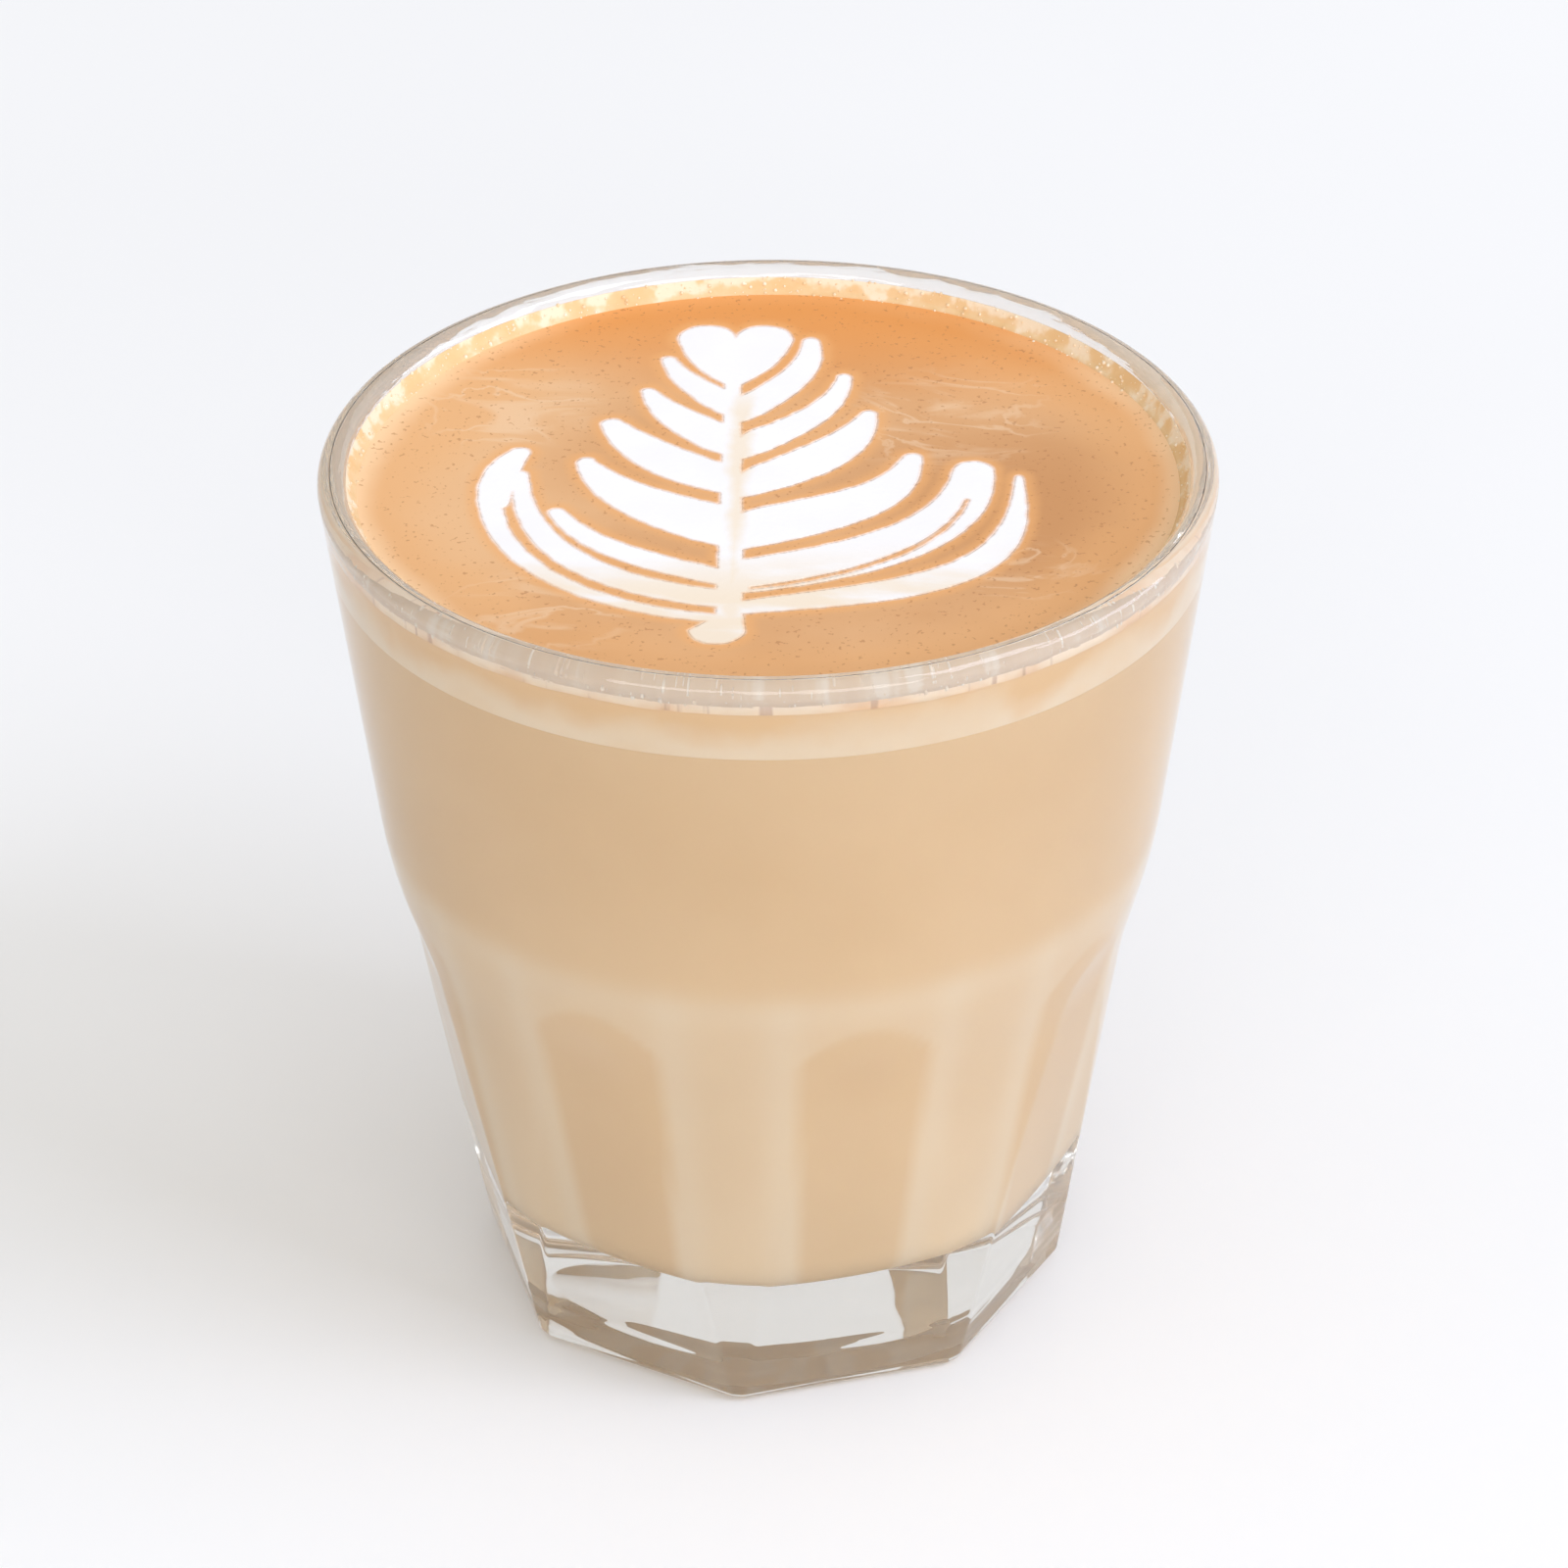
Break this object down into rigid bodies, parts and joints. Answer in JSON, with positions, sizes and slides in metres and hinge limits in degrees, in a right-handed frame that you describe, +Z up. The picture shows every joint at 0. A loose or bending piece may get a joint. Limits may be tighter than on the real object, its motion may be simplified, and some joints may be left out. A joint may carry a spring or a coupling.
{
  "type": "cortado in a glass tumbler",
  "caption": "Small milk coffee filled almost to the lip of a clear faceted tumbler, with a foam layer, orange crema and a poured white rosetta on top.",
  "frame": {"origin": "centre of the glass's foot, on the surface it stands on", "axes": "+Z up through the glass's axis; one rib of the octagonal foot points to -Y; the rosetta's heart points to +Y, leaning 5.5 degrees to -X"},
  "size_m": [0.0746, 0.0746, 0.0784],
  "materials": {
    "clear_glass": "clear, polished pressed glass",
    "milk_coffee": "opaque tan liquid",
    "milk_foam": "pale tan fine foam",
    "crema": "satin orange-brown foam",
    "white_microfoam": "satin white foam",
    "froth": "cream froth of tiny bubbles"
  },
  "bodies": {
    "root": {"tumbler": "clear_glass", "milk_coffee": "milk_coffee", "milk_foam": "milk_foam", "crema": "crema", "rosetta": "white_microfoam", "froth_collar": "froth"}
  },
  "joints": []
}
